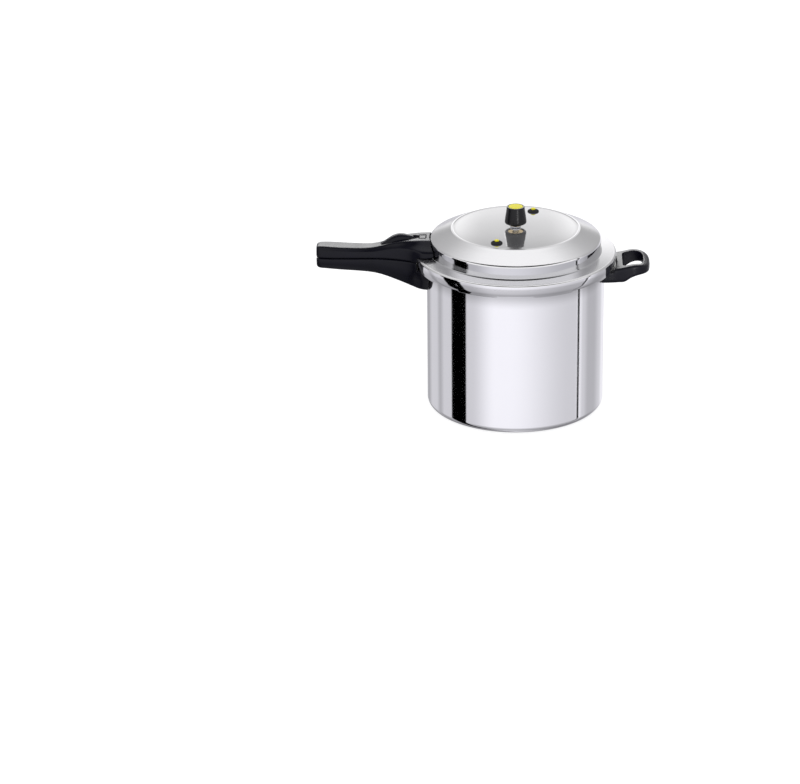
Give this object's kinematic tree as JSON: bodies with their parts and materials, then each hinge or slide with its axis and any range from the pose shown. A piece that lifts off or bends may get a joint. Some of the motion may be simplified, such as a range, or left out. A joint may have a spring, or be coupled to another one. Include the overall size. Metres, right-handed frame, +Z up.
{
  "type": "stovetop pressure cooker",
  "caption": "Closed aluminium pressure cooker with an inner-locking twist lid, long two-part handle, loop helper handle, lift-off weight and safety valves.",
  "frame": {"origin": "centre of the pot's flat base, on the ground", "axes": "+Z up along the pot's axis; -X along the long handle, +X along the helper handle; -Y is the side of the valve nearer the viewer"},
  "size_m": [0.4124, 0.2486, 0.2587],
  "materials": {
    "aluminium": "mirror polished, fine turned lines",
    "steel": "zinc plated",
    "brass": "machined",
    "bakelite": "moulded black bakelite, satin gloss",
    "yellow_plastic": "moulded, satin",
    "rubber": "moulded silicone rubber, black"
  },
  "bodies": {
    "pot": {"pot_body": "aluminium", "pot_handle": "bakelite", "pot_handle_bracket": "steel", "pot_handle_rivet_near": "steel", "pot_handle_rivet_far": "steel", "pot_handle_screw": "steel", "helper_handle": "bakelite", "helper_bracket": "steel", "helper_rivet_near": "steel", "helper_rivet_far": "steel", "helper_screw": "steel"},
    "seal": {"gasket": "rubber"},
    "lid": {"lid_shell": "aluminium", "lid_handle": "bakelite", "lid_handle_bracket": "steel", "lid_handle_rivet_near": "steel", "lid_handle_rivet_far": "steel", "lid_handle_screw": "steel", "lid_handle_plate": "bakelite", "vent_pipe": "steel", "vent_pipe_nut": "brass", "vent_filter": "steel", "safety_grommet_1": "rubber", "safety_grommet_2": "rubber"},
    "slider": {"lock_slider": "bakelite"},
    "bolt": {"lock_bolt": "steel"},
    "weight": {"weight_core": "brass", "weight_cover": "bakelite", "weight_cap": "yellow_plastic"},
    "pin_1": {"safety_pin_1": "yellow_plastic"},
    "pin_2": {"safety_pin_2": "yellow_plastic"}
  },
  "joints": [
    {"name": "lid_lift", "type": "slide", "parent": "pot", "child": "seal", "axis": [0, 0, 1], "range_m": [0, 0.12]},
    {"name": "lid_turn", "type": "hinge", "parent": "seal", "child": "lid", "pos_m": [0, 0, 0.1944], "axis": [0, 0, 1], "range_deg": [0, 22.5]},
    {"name": "lock_slide", "type": "slide", "parent": "lid", "child": "slider", "axis": [0.9847, 0, 0.1743], "range_m": [0, 0.006]},
    {"name": "lock_bolt_drop", "type": "slide", "parent": "lid", "child": "bolt", "axis": [0, 0, -1], "range_m": [0, 0.005]},
    {"name": "weight_lift", "type": "slide", "parent": "lid", "child": "weight", "axis": [0, 0, 1], "range_m": [0, 0.02]},
    {"name": "safety_pin_1_rise", "type": "slide", "parent": "lid", "child": "pin_1", "axis": [0, 0, 1], "range_m": [0, 0.003]},
    {"name": "safety_pin_2_rise", "type": "slide", "parent": "lid", "child": "pin_2", "axis": [0, 0, 1], "range_m": [0, 0.003]}
  ],
  "couplings": [
    {"joint": "lock_bolt_drop", "follows": "lock_slide", "ratio": 0.83333}
  ]
}
